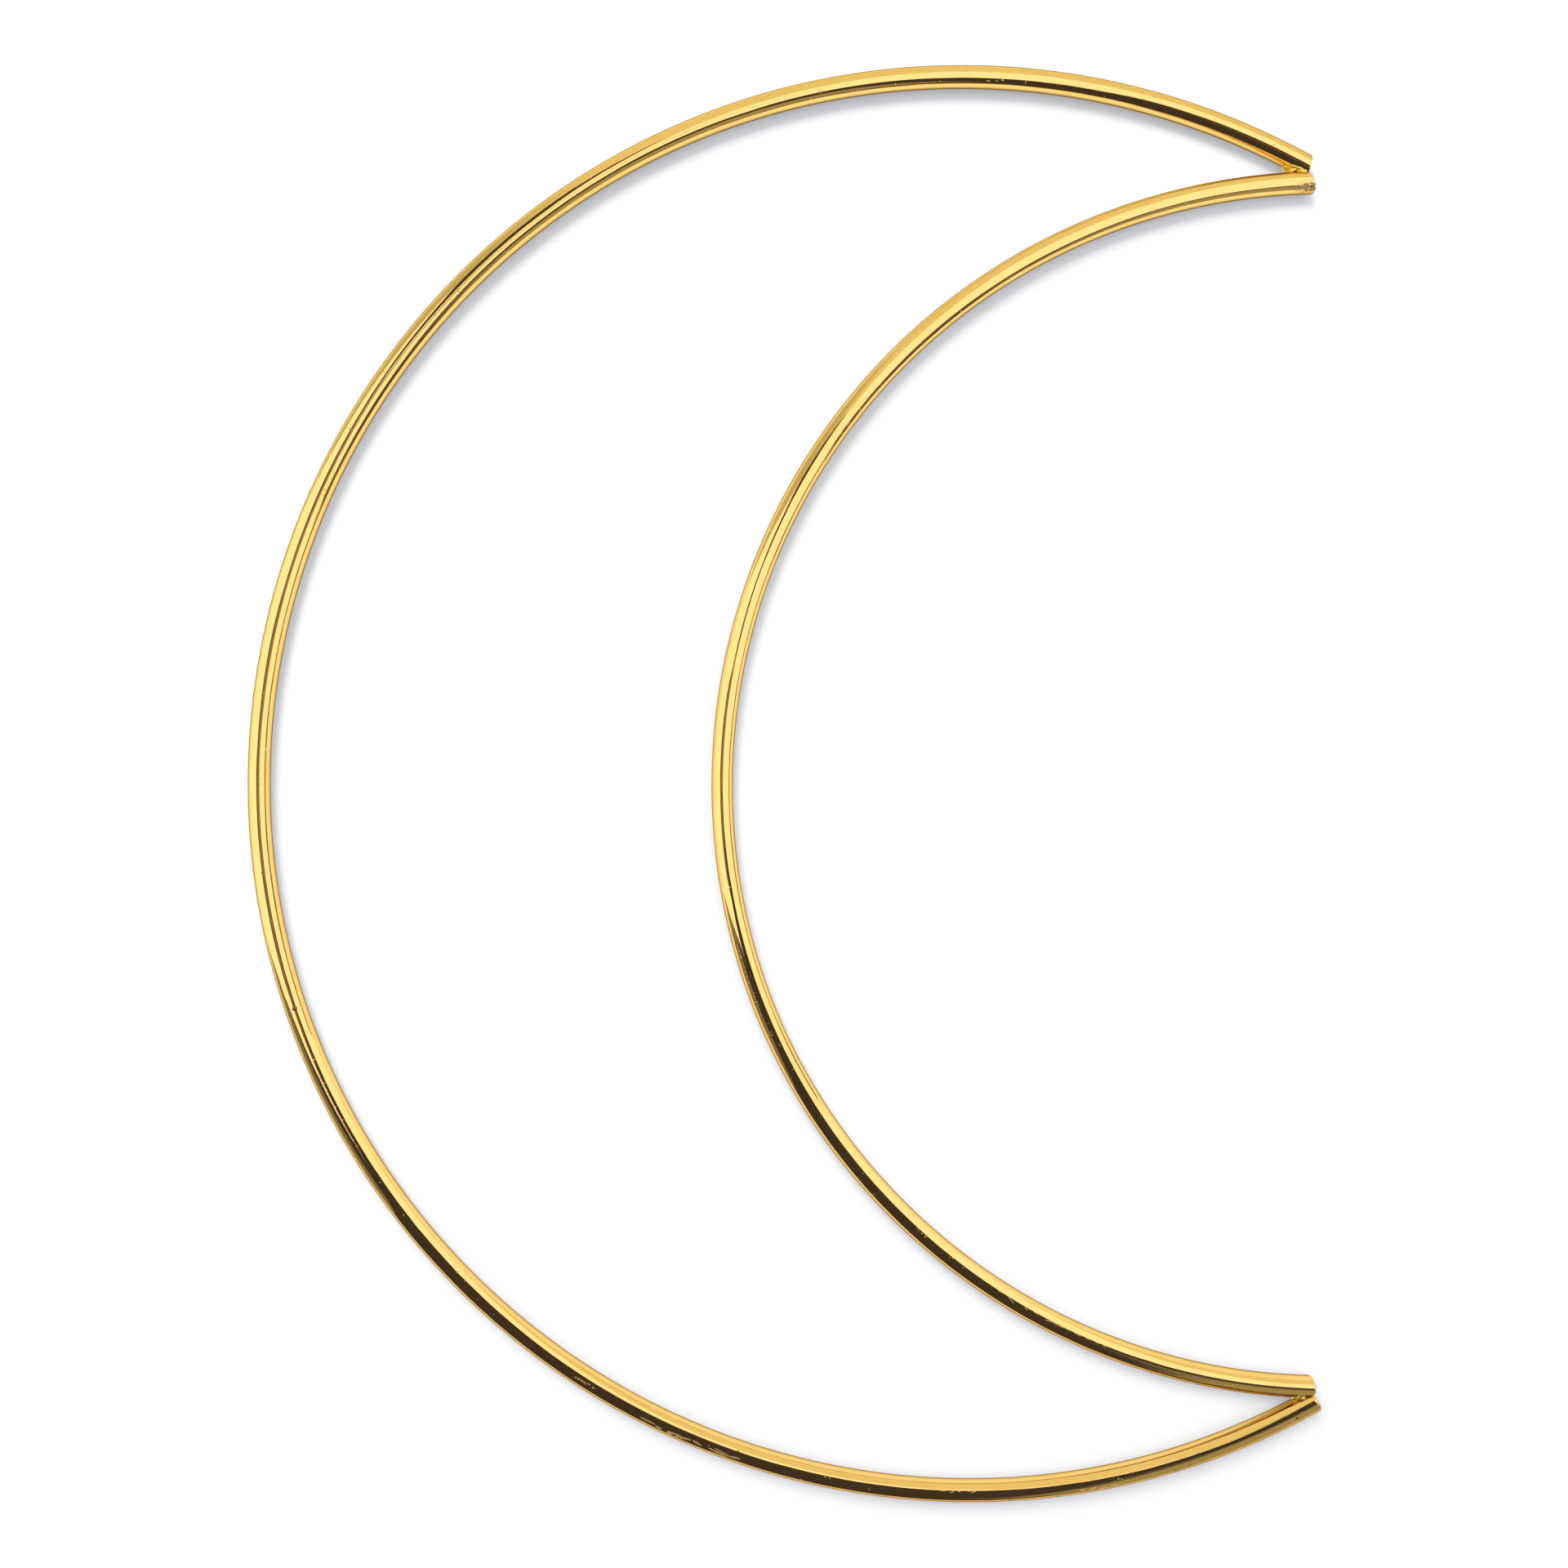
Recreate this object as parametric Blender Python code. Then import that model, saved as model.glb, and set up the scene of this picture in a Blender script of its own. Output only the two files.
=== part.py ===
"""Crescent wreath frame, lying flat: two round wires bent to two arcs that meet at two tips.

The arcs lie in the XY plane, the tips point along +X and the frame's height runs along Y.
The wires are resistance welded where they meet. Each is pressed a little into the other there, and a
small bead of weld sits in the crotch behind each tip. The origin is under the middle of the frame.
"""

import math

import bmesh
import bpy
from mathutils import Matrix, Vector

# Driving dimensions, in metres and radians.
FRAME_HEIGHT = 0.200  # over the outer arc, outside to outside
WIRE_DIAMETER = 0.003
INNER_ARC_RADIUS = 0.0837  # to the middle of the wire
ARC_CENTRE_SPACING = 0.050  # from the outer arc's centre to the inner arc's centre

# Welded tips. An overrun is how far a wire runs on past its weld.
WELD_SETDOWN = 0.0005  # how far the two wires are pressed into each other
WELD_GAP = 0.0001  # clearance between the welded pieces
UPPER_OUTER_OVERRUN = 0.0001
LOWER_OUTER_OVERRUN = 0.0013
UPPER_INNER_OVERRUN = 0.0009
LOWER_INNER_OVERRUN = 0.00095
UPPER_WELD_LENGTH = 0.0024  # from the crotch, where the wires part, back into the crescent
LOWER_WELD_LENGTH = 0.0010
WELD_LEAD = 0.0014  # from the crotch forward, along the groove between the wires
WELD_WIDTH = 0.0020
WELD_CROWN_DROP = 0.0004  # how far the bead's crown lies below the wires' crown

# Wire ends: the outer wire is sheared off, the inner wire has a rounded nose.
SHEAR_ANGLE = math.radians(15.0)  # lean of the outer wire's upper cut
SHEAR_BURR = 0.00025  # length of the edge that the shear rounds over
NOSE_LENGTH = 0.0010
NOSE_FLAT = 0.0010  # diameter of the flat left on a nose

# Fineness of the faceted surfaces.
WIRE_SIDES = 16
ARC_STEP = math.radians(3.0)
NOSE_RINGS = 4
BEAD_SEGMENTS = 24
BEAD_RINGS = 12
CRISP_EDGE = math.radians(40.0)  # edges that turn more than this aren't shaded smooth
CAP_MERGE = 1e-7  # distance within which a cap's rim joins the wire's

GOLD_PLATE = (0.90, 0.61, 0.19, 1.0)
GOLD_PLATE_ROUGHNESS = 0.12
WELD_GOLD = (0.93, 0.66, 0.14, 1.0)
WELD_GOLD_ROUGHNESS = 0.30

QUARTER_TURN = math.radians(90.0)

wire_radius = WIRE_DIAMETER / 2
outer_arc_radius = FRAME_HEIGHT / 2 - wire_radius
inner_centre = Vector((ARC_CENTRE_SPACING, 0.0, 0.0))


def clear_scene():
    """Remove every object that the file opens with."""
    for item in list(bpy.data.objects):
        bpy.data.objects.remove(item, do_unlink=True)


def new_collection(name):
    """Make a collection and link it to the scene."""
    collection = bpy.data.collections.new(name)
    bpy.context.scene.collection.children.link(collection)
    return collection


def metal(name, colour, roughness):
    """Make a bare metal of one colour."""
    material = bpy.data.materials.new(name)
    material.use_nodes = True
    shader = material.node_tree.nodes["Principled BSDF"]
    shader.inputs["Base Color"].default_value = colour
    shader.inputs["Metallic"].default_value = 1.0
    shader.inputs["Roughness"].default_value = roughness
    return material


def where_arcs_are_apart(distance):
    """Angles on the outer and the inner arc, above the X axis, where their middles are this far apart.

    The point on the outer arc lies on a circle about the inner arc's centre, whose radius is the inner
    arc's plus the distance. Where the two circles cross gives both angles.
    """
    reach = INNER_ARC_RADIUS + distance
    x = (outer_arc_radius**2 - reach**2 + ARC_CENTRE_SPACING**2) / (2 * ARC_CENTRE_SPACING)
    y = math.sqrt(outer_arc_radius**2 - x**2)
    return math.atan2(y, x), math.atan2(y, x - ARC_CENTRE_SPACING)


outer_weld_angle, inner_weld_angle = where_arcs_are_apart(WIRE_DIAMETER - WELD_SETDOWN)


def on_arc(radius, angle):
    """Point on an arc about the local origin."""
    return Vector((radius * math.cos(angle), radius * math.sin(angle), 0.0))


def arc_angles(start, end):
    """Evenly spaced angles from start to end, no further apart than the arc step."""
    count = math.ceil((end - start) / ARC_STEP)
    return [start + (end - start) * i / count for i in range(count + 1)]


def sheared_end():
    """Distance from the end and share of the full radius, along the edge that a shear rounds over."""
    return [(0.0, 1 - SHEAR_BURR / wire_radius), (SHEAR_BURR, 1.0)]


def nose_end():
    """Distance from the end and share of the full radius, along the quarter ellipse of a rounded nose."""
    flat = NOSE_FLAT / WIRE_DIAMETER
    turns = [QUARTER_TURN * i / NOSE_RINGS for i in range(NOSE_RINGS + 1)]
    return [(NOSE_LENGTH * (1 - math.cos(t)), flat + (1 - flat) * math.sin(t)) for t in turns]


def plain_end():
    """A square end at the full radius."""
    return [(0.0, 1.0)]


def wire_curve(name, arc_radius, start, end, end_shape, section_radius):
    """Round wire along an arc about the local origin, from one angle to another, with shaped ends.

    The section is a polygon with flats at its top and bottom, at the section radius from its middle,
    so that the wire lies on a flat.
    """
    shape = end_shape()
    inset = shape[-1][0] / arc_radius
    near = [(start + s / arc_radius, share) for s, share in shape]
    far = [(end - s / arc_radius, share) for s, share in reversed(shape)]
    middle = [(angle, 1.0) for angle in arc_angles(start + inset, end - inset)[1:-1]]
    stations = near + middle + far

    curve = bpy.data.curves.new(name, "CURVE")
    curve.dimensions = "3D"
    curve.twist_mode = "Z_UP"
    half_side = math.pi / WIRE_SIDES
    curve.bevel_depth = section_radius / math.cos(half_side)
    curve.bevel_resolution = WIRE_SIDES // 2 - 2
    curve.use_fill_caps = True
    spline = curve.splines.new("POLY")
    spline.points.add(len(stations) - 1)
    for point, (angle, share) in zip(spline.points, stations):
        point.co = (*on_arc(arc_radius, angle), 1.0)
        point.radius = share
        point.tilt = half_side
    return bpy.data.objects.new(name, curve)


def as_mesh(curve_object, collection):
    """Turn a wire curve into a closed mesh object of the same name and place, ready for a cut."""
    name = curve_object.name
    collection.objects.link(curve_object)
    bpy.context.view_layer.update()
    evaluated = curve_object.evaluated_get(bpy.context.evaluated_depsgraph_get())
    mesh = bpy.data.meshes.new_from_object(evaluated)
    welded = bmesh.new()
    welded.from_mesh(mesh)
    bmesh.ops.remove_doubles(welded, verts=welded.verts, dist=CAP_MERGE)
    bmesh.ops.recalc_face_normals(welded, faces=welded.faces)
    welded.to_mesh(mesh)
    welded.free()
    place = curve_object.matrix_world.copy()
    bpy.data.objects.remove(curve_object, do_unlink=True)
    solid = bpy.data.objects.new(name, mesh)
    solid.matrix_world = place
    collection.objects.link(solid)
    return solid


def make_cutter(item):
    """Hide a cutter from renders and show it as wires."""
    item.hide_render = True
    item.display_type = "WIRE"
    return item


def cut(item, cutter):
    """Take a cutter's shape out of a piece."""
    boolean = item.modifiers.new(f"cut_by_{cutter.name}", "BOOLEAN")
    boolean.operation = "DIFFERENCE"
    boolean.solver = "EXACT"
    boolean.object = cutter


def shade_round(item):
    """Shade a round piece smooth, with crisp edges at its cuts."""
    item.data.shade_smooth()
    item.data.set_sharp_from_angle(angle=CRISP_EDGE)


def outer_span():
    """Angles where the outer wire starts, at the upper tip, and ends, at the lower tip."""
    start = outer_weld_angle - UPPER_OUTER_OVERRUN / outer_arc_radius
    end = math.tau - outer_weld_angle + LOWER_OUTER_OVERRUN / outer_arc_radius
    return start, end


def inner_span():
    """Angles where the inner wire starts, at the upper tip, and ends, at the lower tip."""
    start = inner_weld_angle - UPPER_INNER_OVERRUN / INNER_ARC_RADIUS
    end = math.tau - inner_weld_angle + LOWER_INNER_OVERRUN / INNER_ARC_RADIUS
    return start, end


def clearance_tubes(collection):
    """Cutters that follow the two wires, wider by the weld gap and longer by a wire diameter."""
    tubes = []
    for name, radius, span, centre in (
        ("outer_wire_clearance", outer_arc_radius, outer_span(), Vector()),
        ("inner_wire_clearance", INNER_ARC_RADIUS, inner_span(), inner_centre),
    ):
        spare = WIRE_DIAMETER / radius
        start, end = span[0] - spare, span[1] + spare
        tube = wire_curve(name, radius, start, end, plain_end, wire_radius + WELD_GAP)
        tube.location = centre
        tubes.append(make_cutter(as_mesh(tube, collection)))
    return tubes


def shear_cutter(collection):
    """Block whose near face is the leaning cut at the outer wire's upper end."""
    angle = outer_span()[0]
    size = 3 * WIRE_DIAMETER
    bpy.ops.mesh.primitive_cube_add(size=size)
    block = bpy.context.object
    block.name = "upper_shear"
    towards_tip = angle - QUARTER_TURN + SHEAR_ANGLE
    block.rotation_euler.z = towards_tip
    block.location = on_arc(outer_arc_radius, angle) + on_arc(size / 2, towards_tip)
    for owner in block.users_collection:
        owner.objects.unlink(block)
    collection.objects.link(block)
    return make_cutter(block)


def outer_wire(parts, cutters, inner_clearance):
    """Long wire on the larger arc, seated on the inner wire at both tips and sheared at its upper end."""
    start, end = outer_span()
    spare = WIRE_DIAMETER / outer_arc_radius
    curve = wire_curve("outer_arc_wire", outer_arc_radius, start - spare, end, sheared_end, wire_radius)
    wire = as_mesh(curve, parts)
    cut(wire, shear_cutter(cutters))
    cut(wire, inner_clearance)
    shade_round(wire)
    return wire


def inner_wire(parts):
    """Short wire on the smaller arc, with rounded noses."""
    wire = wire_curve("inner_arc_wire", INNER_ARC_RADIUS, *inner_span(), nose_end, wire_radius)
    wire.location = inner_centre
    parts.objects.link(wire)
    return wire


def tip_weld(name, side, length, parts, clearances):
    """Bead in the crotch of a tip: a long ellipsoid, cut to fit between the two wires.

    The side is 1 at the upper tip and -1 at the lower one. The bead lies on the line that halves the
    angle between the wires, from the crotch back into the crescent and a little forward of it.
    """
    outer_angle, inner_angle = where_arcs_are_apart(WIRE_DIAMETER + 2 * WELD_GAP)
    on_outer = on_arc(outer_arc_radius, outer_angle)
    on_inner = inner_centre + on_arc(INNER_ARC_RADIUS, inner_angle)
    crotch = (on_outer + on_inner) / 2
    back_angle = (outer_angle + inner_angle) / 2 + QUARTER_TURN
    middle = crotch + on_arc((length - WELD_LEAD) / 2, back_angle)
    half_sizes = ((length + WELD_LEAD) / 2, WELD_WIDTH / 2, wire_radius - WELD_CROWN_DROP)

    mesh = bpy.data.meshes.new(name)
    ball = bmesh.new()
    stretch = Matrix.Diagonal((*half_sizes, 1.0))
    bmesh.ops.create_uvsphere(
        ball, u_segments=BEAD_SEGMENTS, v_segments=BEAD_RINGS, radius=1.0, matrix=stretch
    )
    ball.to_mesh(mesh)
    ball.free()
    bead = bpy.data.objects.new(name, mesh)
    bead.location = (middle.x, side * middle.y, 0.0)
    bead.rotation_euler.z = side * back_angle
    parts.objects.link(bead)
    for clearance in clearances:
        cut(bead, clearance)
    shade_round(bead)
    return bead


def frame_datum():
    """Empty at the outer arc's centre, half a wire up, placed so that the frame's middle is at x = 0."""
    end_angle = outer_span()[1]
    lower_corner = on_arc(outer_arc_radius + wire_radius - SHEAR_BURR, end_angle)
    left_edge = -FRAME_HEIGHT / 2
    datum = bpy.data.objects.new("outer_arc_centre", None)
    datum.location = (-(left_edge + lower_corner.x) / 2, 0.0, wire_radius)
    bpy.context.scene.collection.objects.link(datum)
    return datum


def build():
    """Make the four pieces of the frame and hang them on the datum."""
    clear_scene()
    parts = new_collection("crescent_wreath_frame")
    cutters = new_collection("weld_and_shear_cutters")
    plating = metal("gold_plated_wire", GOLD_PLATE, GOLD_PLATE_ROUGHNESS)
    weld_metal = metal("gold_plated_weld", WELD_GOLD, WELD_GOLD_ROUGHNESS)

    clearances = clearance_tubes(cutters)
    wires = [outer_wire(parts, cutters, clearances[1]), inner_wire(parts)]
    beads = [
        tip_weld("upper_tip_weld", 1, UPPER_WELD_LENGTH, parts, clearances),
        tip_weld("lower_tip_weld", -1, LOWER_WELD_LENGTH, parts, clearances),
    ]
    for wire in wires:
        wire.data.materials.append(plating)
    for bead in beads:
        bead.data.materials.append(weld_metal)

    datum = frame_datum()
    for item in (*parts.objects, *cutters.objects):
        item.parent = datum


build()
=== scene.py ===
"""Looks of the crescent wreath frame: two gold-plated wires, their two welds, and the studio they lie in."""

import bpy
import numpy as np
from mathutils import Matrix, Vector


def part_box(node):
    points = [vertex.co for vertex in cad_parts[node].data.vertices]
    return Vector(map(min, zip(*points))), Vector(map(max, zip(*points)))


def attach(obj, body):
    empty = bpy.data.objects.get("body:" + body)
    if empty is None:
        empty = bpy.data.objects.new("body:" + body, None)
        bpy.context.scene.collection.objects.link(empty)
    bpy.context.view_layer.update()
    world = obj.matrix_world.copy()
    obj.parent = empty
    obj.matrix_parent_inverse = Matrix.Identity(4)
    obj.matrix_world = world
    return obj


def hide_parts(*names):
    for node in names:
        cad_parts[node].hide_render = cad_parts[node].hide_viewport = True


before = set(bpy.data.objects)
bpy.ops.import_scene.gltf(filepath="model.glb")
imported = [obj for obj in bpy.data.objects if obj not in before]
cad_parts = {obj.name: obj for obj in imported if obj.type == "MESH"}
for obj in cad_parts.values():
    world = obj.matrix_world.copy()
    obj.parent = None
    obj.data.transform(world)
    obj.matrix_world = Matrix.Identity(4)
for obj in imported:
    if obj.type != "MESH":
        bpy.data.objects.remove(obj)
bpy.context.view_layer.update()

# Outer arc wire
# The long wire of the crescent: drawn steel, 3 mm thick, roll-bent to an arc, cut with a shear at both
# ends and electroplated with bright gold, so it mirrors the studio between fine draw lines.
MM = 0.001
OUTER_LOW, OUTER_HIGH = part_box("outer_arc_wire")
WIRE_RADIUS = (OUTER_HIGH.z - OUTER_LOW.z) / 2
WIRE_GIRTH = 2 * np.pi * WIRE_RADIUS
OUTER_REACH = -OUTER_LOW.y
OUTER_RADIUS = OUTER_REACH - WIRE_RADIUS
OUTER_CENTRE_X = OUTER_LOW.x + OUTER_REACH
OUTER_LOWER_END = 2 * np.pi - np.arccos((OUTER_HIGH.x - OUTER_CENTRE_X) / OUTER_REACH)
UPPER_END_SHORTER = 1.0 * MM
OUTER_UPPER_END = 2 * np.pi - OUTER_LOWER_END + UPPER_END_SHORTER / OUTER_RADIUS
OUTER_STATIONS, OUTER_SIDES = 2000, 48
STATION_CROWDING = 0.6
CAP_STEPS = np.array([0.25, 0.5, 0.7, 0.8, 0.86, 0.91, 0.95, 0.98, 0.995])
UPPER_SHEAR = np.radians(15)
SHEAR_BEVEL = 0.08 * MM
SNIPPED_BEVEL = 0.40 * MM
OUTER_TWO_WAVE_BEND, OUTER_FOUR_WAVE_BEND = -0.15 * MM, 0.08 * MM
OUTER_TIGHTER = 0.19 * MM
ROLL_RELIEF = 0.0022 * MM
ROLL_WAVES = 14
ROLL_LENGTHS_MM = (9, 55)
ROLL_COUNTS = (2, 11)
OUTER_ROLL_SEED = 3
PLATING_ROOM = 0.015 * MM
CUT_FACE_WEAR = 0.12
SCUFF = 0.03
SCUFF_ANGLE, SCUFF_LENGTH = np.radians(134), np.radians(6)
SCUFF_TURN, SCUFF_BREADTH = np.radians(118), np.radians(22)
WIRE_GOLD, WIRE_GOLD_DEEPER = (0.965, 0.645, 0.205, 1.0), (0.945, 0.615, 0.185, 1.0)
# Painted shade: the gold's mirror is tinted dark at grazing angles, so the wires' rims go dark like the
# shadowed table beside them.
WIRE_RIM_PAINTED_SHADE = (0.22, 0.14, 0.08, 1.0)
WIRE_ROUGHNESS = (0.02, 0.06)
TINT_SCALE = 90.0
DRAW_LINE_SCALE, DRAW_LINE_DEPTH = (30.0, 4200.0, 1.0), 0.005 * MM
PIT_SCALE, PIT_DEPTH = 520.0, 0.02 * MM
PIT_CHANCE, PIT_REACH = (0.72, 1.0), (0.0, 0.085)
GRAIN_SCALE, GRAIN_DEPTH = 3400.0, 0.16 * MM
GRAIN_DARK = (0.40, 0.62)
WORN_PALE, WORN_DARK = (0.90, 0.62, 0.26, 1.0), (0.20, 0.11, 0.04, 1.0)
WORN_ROUGHNESS = 0.16
NOISE_MIDDLE = (0.3, 0.7)


def rounded_rim(across, up, bevel):
    """How far a cut end falls back near its rim: a quarter circle of radius bevel, and nothing inside it."""
    share = bevel / WIRE_RADIUS
    out = np.clip((np.hypot(across, up) - (1 - share)) / share, 0, 1)
    return bevel * (1 - np.sqrt(1 - out**2))


def sheared_end(across, up):
    """A cut that leans: the wire is shorter towards the arc's outside, by the tangent of the shear angle."""
    return -np.tan(UPPER_SHEAR) * WIRE_RADIUS * across - rounded_rim(across, up, SHEAR_BEVEL)


def snipped_end(across, up):
    """A square cut with its rim rounded over by the snips."""
    return -rounded_rim(across, up, SNIPPED_BEVEL)


def outer_bend(angle):
    """How far the outer centreline strays from its circle: inwards, with two waves and four in a turn."""
    waves = OUTER_TWO_WAVE_BEND * np.sin(2 * angle) + OUTER_FOUR_WAVE_BEND * np.sin(4 * angle)
    return waves - OUTER_TIGHTER


def roll_relief(seed):
    """A relief of long shallow ridges, as drawing and rolling leave: waves in length times waves round.

    All of it lies a little under the nominal radius, which leaves room for the flecks on the plating.
    """
    draw = np.random.default_rng(seed)
    lengths = draw.uniform(*ROLL_LENGTHS_MM, ROLL_WAVES) * MM
    counts = draw.integers(*ROLL_COUNTS, ROLL_WAVES)
    phases = draw.uniform(0, 2 * np.pi, (2, ROLL_WAVES))

    def relief(along, around):
        height = np.zeros(np.broadcast(along, around).shape)
        for length, count, shift, turn in zip(lengths, counts, *phases):
            lengthwise = np.cos(2 * np.pi * along / length + shift)
            height += lengthwise * np.cos(count * around + turn) / np.sqrt(count)
        return ROLL_RELIEF * (height / np.sqrt(ROLL_WAVES) - 2) - PLATING_ROOM

    return relief


def bent_wire(centre_x, radius, first, last, ends, bend, relief, stations, sides):
    """Rings of a round wire bent to an arc, closed at both ends, as points, tips, angles, lengths and turns.

    At arc angle a and angle p round the wire, across = cos p points away from the arc's centre and
    up = sin p points to +Z. A point lies at centre + (radius + bend(a) + w across) (cos a, sin a), at height
    r + w up, with w = r + relief. Each end's function says how far past the nominal end the wire reaches at
    (across, up): the rings slide along the wire to meet it, and the cap's rings, with across and up shrunk,
    lie on it.
    """
    around = -np.pi / 2 - 2 * np.pi * np.arange(sides) / sides
    across, up = np.cos(around), np.sin(around)
    step = np.linspace(0, 1, stations)[:, None]
    share = step - STATION_CROWDING * np.sin(2 * np.pi * step) / (2 * np.pi)
    start = first - ends[0](across, up) / radius
    stop = last + ends[1](across, up) / radius
    tube = start + share * (stop - start)
    shrink = CAP_STEPS[:, None]
    first_cap = first - ends[0](shrink * across, shrink * up) / radius
    last_cap = (last + ends[1](shrink * across, shrink * up) / radius)[::-1]
    angle = np.concatenate([first_cap, tube, last_cap])
    size = np.concatenate([shrink, np.ones((stations, 1)), shrink[::-1]])
    along = radius * (angle - first)
    width = size * (WIRE_RADIUS + relief(along, around))
    reach = radius + bend(angle) + width * across
    height = WIRE_RADIUS + width * up
    points = np.stack([centre_x + reach * np.cos(angle), reach * np.sin(angle), height], -1)
    tips = []
    for a in (first - ends[0](0.0, 0.0) / radius, last + ends[1](0.0, 0.0) / radius):
        reach = radius + bend(a)
        tips.append((centre_x + reach * np.cos(a), reach * np.sin(a), WIRE_RADIUS))
    cap_fall = np.concatenate([shrink - 1, np.zeros((stations, 1)), 1 - shrink[::-1]]) * WIRE_RADIUS
    return points, tips, angle, along + cap_fall, around


def ring_faces(count, sides):
    """Quads between closed rings, and a fan of triangles to a tip at each end.

    Ring i's point j is joined to its neighbours i + 1 and j + 1, the last j to the first. The two tips
    follow the rings' points.
    """
    i, j = np.arange(count - 1)[:, None] * sides, np.arange(sides)
    k = (j + 1) % sides
    quads = np.stack([i + j, i + k, i + sides + k, i + sides + j], -1).reshape(-1, 4)
    tip, low = count * sides, (count - 1) * sides
    first_fan = np.stack([k, j, 0 * j + tip], -1)
    last_fan = np.stack([low + j, low + k, 0 * j + tip + 1], -1)
    return quads, np.concatenate([first_fan, last_fan])


def smooth_piece(name, points, faces):
    """A smooth-shaded piece of the frame, with its place in its mesh."""
    mesh = bpy.data.meshes.new(name)
    mesh.from_pydata(points.tolist(), [], faces)
    mesh.shade_smooth()
    piece = bpy.data.objects.new(name, mesh)
    bpy.context.scene.collection.objects.link(piece)
    return piece


def skin_rings(name, rings, tips, along):
    """A wire of closed rings with a tip at each end, and a UV map in metres.

    U is the length along the wire and V the length round it, so a pattern keeps its real size.
    """
    count, sides = rings.shape[:2]
    quads, fans = ring_faces(count, sides)
    points = np.concatenate([rings.reshape(-1, 3), np.asarray(tips)])
    piece = smooth_piece(name, points, quads.tolist() + fans.tolist())
    mesh = piece.data
    corner = np.empty(len(mesh.loops), np.int32)
    mesh.loops.foreach_get("vertex_index", corner)
    u = np.concatenate([along.reshape(-1), along[[0, -1]].mean(1)])
    j = np.arange(sides)
    v_quads = np.broadcast_to(np.stack([j, j + 1, j + 1, j], -1), (count - 1, sides, 4))
    v_first, v_last = np.stack([j + 1, j, j + 0.5], -1), np.stack([j, j + 1, j + 0.5], -1)
    v = np.concatenate([side.reshape(-1) for side in (v_quads, v_first, v_last)]) * WIRE_GIRTH / sides
    layer = mesh.uv_layers.new(name="length_and_turn")
    layer.uv.foreach_set("vector", np.stack([u[corner], v], -1).astype(np.float32).reshape(-1))
    return piece


def paint(piece, name, values):
    """A number for each point of the piece, for its material to read."""
    mesh = piece.data
    full = np.zeros(len(mesh.vertices), np.float32)
    full[: values.size] = values.reshape(-1)
    mesh.attributes.new(name, "FLOAT", "POINT").data.foreach_set("value", full)


def cut_face_wear(angle):
    """The wear of a wire's two cut faces: the same all over each cap, and none along the wire."""
    wear = np.zeros(angle.shape)
    wear[: len(CAP_STEPS)] = CUT_FACE_WEAR
    wear[-len(CAP_STEPS) :] = CUT_FACE_WEAR
    return wear


def turn_from(around, turn):
    """The angle round the wire from a given turn, between minus and plus half a turn."""
    return (around - turn + np.pi) % (2 * np.pi) - np.pi


def new_finish(name):
    """A new material, with its node tree and its shader."""
    material = bpy.data.materials.new(name)
    material.use_nodes = True
    return material, material.node_tree, material.node_tree.nodes["Principled BSDF"]


def add_node(tree, kind, settings=None, values=None):
    """One shader node with its settings and socket values; a value that is a node's socket is linked."""
    made = tree.nodes.new(kind)
    for key, value in (settings or {}).items():
        setattr(made, key, value)
    for key, value in (values or {}).items():
        if isinstance(value, bpy.types.NodeSocket):
            tree.links.new(value, made.inputs[key])
        else:
            made.inputs[key].default_value = value
    return made


def flat_noise(tree, place, scale, detail, roughness=0.5):
    """Noise in two dimensions, for a pattern that follows the UV map."""
    settings = {"noise_dimensions": "2D"}
    values = {"Vector": place, "Scale": scale, "Detail": detail, "Roughness": roughness}
    return add_node(tree, "ShaderNodeTexNoise", settings, values).outputs["Fac"]


def ramp(tree, value, span, levels=(0.0, 1.0)):
    """A level that goes straight from the first of two levels to the second while a value crosses a span."""
    ends = {"From Min": span[0], "From Max": span[1], "To Min": levels[0], "To Max": levels[1]}
    return add_node(tree, "ShaderNodeMapRange", values={"Value": value, **ends}).outputs["Result"]


def blend(tree, share, first, second):
    """A colour that goes from the first to the second as the share goes from 0 to 1."""
    values = {"Factor": share, "A": first, "B": second}
    return add_node(tree, "ShaderNodeMix", {"data_type": "RGBA"}, values).outputs["Result"]


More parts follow.
